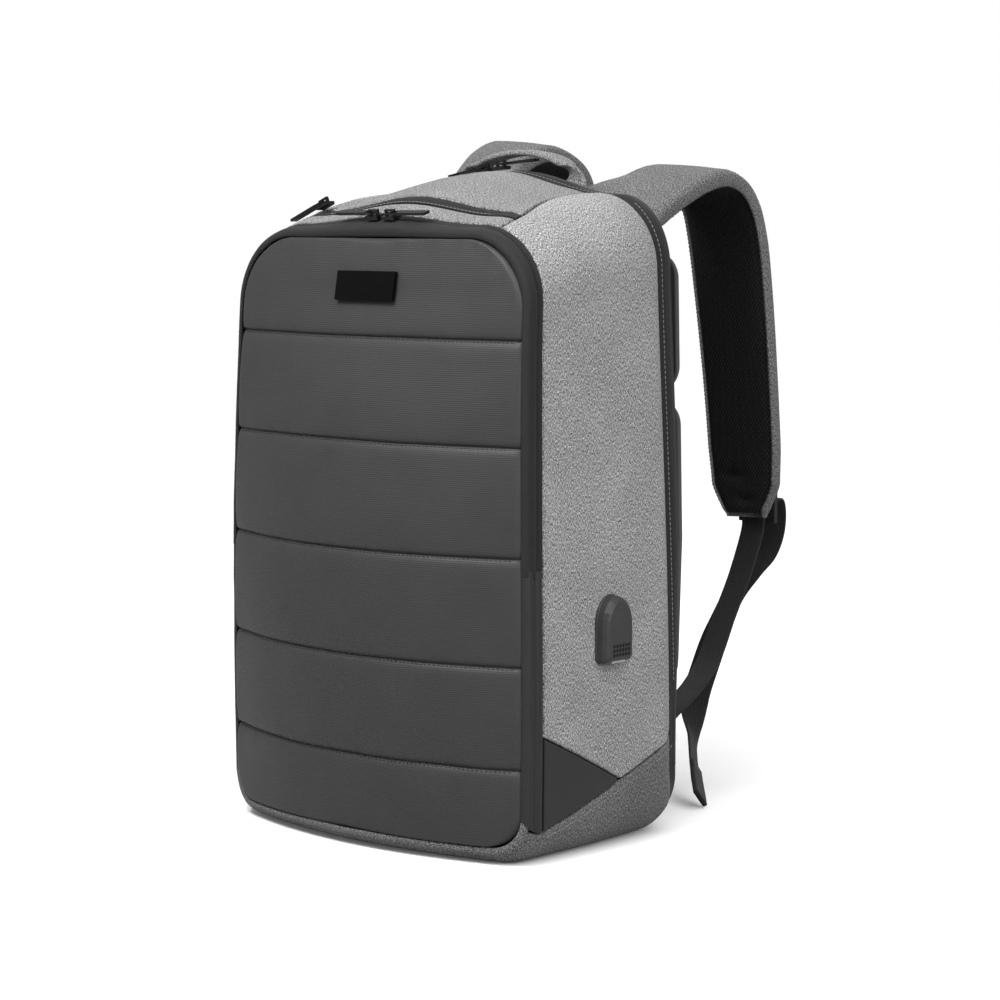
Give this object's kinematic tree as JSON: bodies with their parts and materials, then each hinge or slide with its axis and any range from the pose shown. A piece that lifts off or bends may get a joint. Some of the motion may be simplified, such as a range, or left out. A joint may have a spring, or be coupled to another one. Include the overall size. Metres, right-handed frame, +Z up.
{
  "type": "backpack",
  "caption": "Clamshell laptop backpack in heather grey with a quilted charcoal drop-front pocket, padded straps, top handle and a hooded USB charging port on its right side.",
  "frame": {"origin": "centre of the flat base, on the surface that the bag stands on", "axes": "+Z up along the height, -Y out of the quilted front, +Y towards the wearer, +X to the side with the USB port"},
  "size_m": [0.2978, 0.3655, 0.4738],
  "materials": {
    "heather_fabric": "heather grey woven polyester, mottled, foam backed",
    "base_fabric": "heather grey woven polyester wrapped under the base",
    "coated_fabric": "charcoal coated nylon with fine crosswise ribs and a soft sheen",
    "zip_tape": "black zip tape and reversed coil",
    "spacer_mesh": "black three-dimensional spacer mesh",
    "webbing": "black woven polypropylene webbing",
    "slider_metal": "gunmetal plated zip sliders and pullers",
    "badge_metal": "blank plate, gloss black lacquer",
    "port_plastic": "black moulded port housing",
    "lock_plastic": "black acetal ladder lock",
    "connector_steel": "plated steel connector shell",
    "stiffener_board": "polyethylene stiffener board",
    "lining_fabric": "dark padded lining"
  },
  "bodies": {
    "bag": {"base_panel": "base_fabric", "base_board": "stiffener_board", "side_panel_right": "heather_fabric", "side_panel_left": "heather_fabric", "corner_patch_right": "coated_fabric", "corner_patch_left": "coated_fabric", "front_gusset_right": "coated_fabric", "front_gusset_left": "coated_fabric", "top_panel_front": "heather_fabric", "top_panel_rear": "heather_fabric", "top_zip_tape": "zip_tape", "front_zip_tape_shell": "zip_tape", "main_zip_tape_shell": "zip_tape", "front_divider": "lining_fabric", "middle_divider": "lining_fabric", "front_panel_lower": "coated_fabric", "lower_back_cover": "lining_fabric", "usb_hood": "port_plastic", "usb_socket_shell": "connector_steel", "usb_socket_tongue": "port_plastic", "usb_backplate": "port_plastic", "usb_lead_gland": "port_plastic"},
    "front_flap": {"front_flap_panel": "coated_fabric", "front_zip_tape_flap": "zip_tape", "badge_plate": "badge_metal"},
    "back_panel": {"main_zip_tape_panel": "zip_tape", "back_board": "stiffener_board", "back_cover": "lining_fabric", "laptop_sleeve": "lining_fabric", "back_pad_upper_right": "spacer_mesh", "back_pad_upper_left": "spacer_mesh", "back_pad_lower_right": "spacer_mesh", "back_pad_lower_left": "spacer_mesh", "strap_yoke": "heather_fabric", "strap_root_right": "heather_fabric", "strap_root_left": "heather_fabric", "anchor_tab_right": "heather_fabric", "anchor_tab_left": "heather_fabric"},
    "handle": {"top_handle": "heather_fabric"},
    "strap_right": {"strap_cover_right": "heather_fabric", "strap_mesh_right": "spacer_mesh", "ladder_lock_right": "lock_plastic", "lock_loop_right": "webbing", "webbing_right": "webbing"},
    "strap_left": {"strap_cover_left": "heather_fabric", "strap_mesh_left": "spacer_mesh", "ladder_lock_left": "lock_plastic", "lock_loop_left": "webbing", "webbing_left": "webbing"},
    "front_zip_left_slider": {"front_zip_left_slider": "slider_metal"},
    "front_zip_left_puller": {"front_zip_left_puller": "slider_metal"},
    "front_zip_right_slider": {"front_zip_right_slider": "slider_metal"},
    "front_zip_right_puller": {"front_zip_right_puller": "slider_metal"},
    "top_zip_slider": {"top_zip_slider": "slider_metal"},
    "top_zip_puller": {"top_zip_puller": "slider_metal"},
    "main_zip_left_slider": {"main_zip_left_slider": "slider_metal"},
    "main_zip_left_puller": {"main_zip_left_puller": "slider_metal"},
    "main_zip_right_slider": {"main_zip_right_slider": "slider_metal"},
    "main_zip_right_puller": {"main_zip_right_puller": "slider_metal"}
  },
  "joints": [
    {"name": "front_flap_fold", "type": "hinge", "parent": "bag", "child": "front_flap", "pos_m": [0, -0.10904, 0.188], "axis": [1, 0, 0], "range_deg": [0, 110]},
    {"name": "back_panel_open", "type": "hinge", "parent": "bag", "child": "back_panel", "pos_m": [0, 0.085, 0.043], "axis": [-1, 0, 0], "range_deg": [0, 40]},
    {"name": "handle_fold", "type": "hinge", "parent": "back_panel", "child": "handle", "pos_m": [0, 0.0794, 0.437], "axis": [-1, 0, 0], "range_deg": [0, 40]},
    {"name": "strap_right_swing", "type": "hinge", "parent": "back_panel", "child": "strap_right", "pos_m": [0.075, 0.09943, 0.42118], "axis": [1, 0, 0], "range_deg": [0, 25]},
    {"name": "strap_left_swing", "type": "hinge", "parent": "back_panel", "child": "strap_left", "pos_m": [-0.075, 0.0984, 0.42201], "axis": [1, 0, 0], "range_deg": [0, 25]},
    {"name": "front_zip_left_travel", "type": "slide", "parent": "bag", "child": "front_zip_left_slider", "axis": [-1, 0, 0], "range_m": [0, 0.055]},
    {"name": "front_zip_left_puller_swing", "type": "hinge", "parent": "front_zip_left_slider", "child": "front_zip_left_puller", "pos_m": [-0.007, -0.0668, 0.42112], "axis": [0, 0.9539, 0.3], "range_deg": [0, 110]},
    {"name": "front_zip_right_travel", "type": "slide", "parent": "bag", "child": "front_zip_right_slider", "axis": [1, 0, 0], "range_m": [0, 0.055]},
    {"name": "front_zip_right_puller_swing", "type": "hinge", "parent": "front_zip_right_slider", "child": "front_zip_right_puller", "pos_m": [0.008, -0.0668, 0.42112], "axis": [0, -0.9539, -0.3], "range_deg": [0, 110]},
    {"name": "top_zip_travel", "type": "slide", "parent": "bag", "child": "top_zip_slider", "axis": [0.9211, 0, 0.3894], "range_m": [0, 0.012]},
    {"name": "top_zip_puller_swing", "type": "hinge", "parent": "top_zip_slider", "child": "top_zip_puller", "pos_m": [-0.0853, -0.03564, 0.42828], "axis": [0, 1, 0], "range_deg": [0, 110]},
    {"name": "main_zip_left_travel", "type": "hinge", "parent": "bag", "child": "main_zip_left_slider", "pos_m": [0, 0.0676, 0.3013], "axis": [0, -1, 0], "range_deg": [0, 8]},
    {"name": "main_zip_left_puller_swing", "type": "hinge", "parent": "main_zip_left_slider", "child": "main_zip_left_puller", "pos_m": [-0.02873, 0.0676, 0.45249], "axis": [0, 1, 0], "range_deg": [0, 110]},
    {"name": "main_zip_right_travel", "type": "hinge", "parent": "bag", "child": "main_zip_right_slider", "pos_m": [0, 0.0676, 0.3013], "axis": [0, 1, 0], "range_deg": [0, 24]},
    {"name": "main_zip_right_puller_swing", "type": "hinge", "parent": "main_zip_right_slider", "child": "main_zip_right_puller", "pos_m": [-0.01334, 0.0676, 0.45462], "axis": [0, -1, 0], "range_deg": [0, 110]}
  ]
}
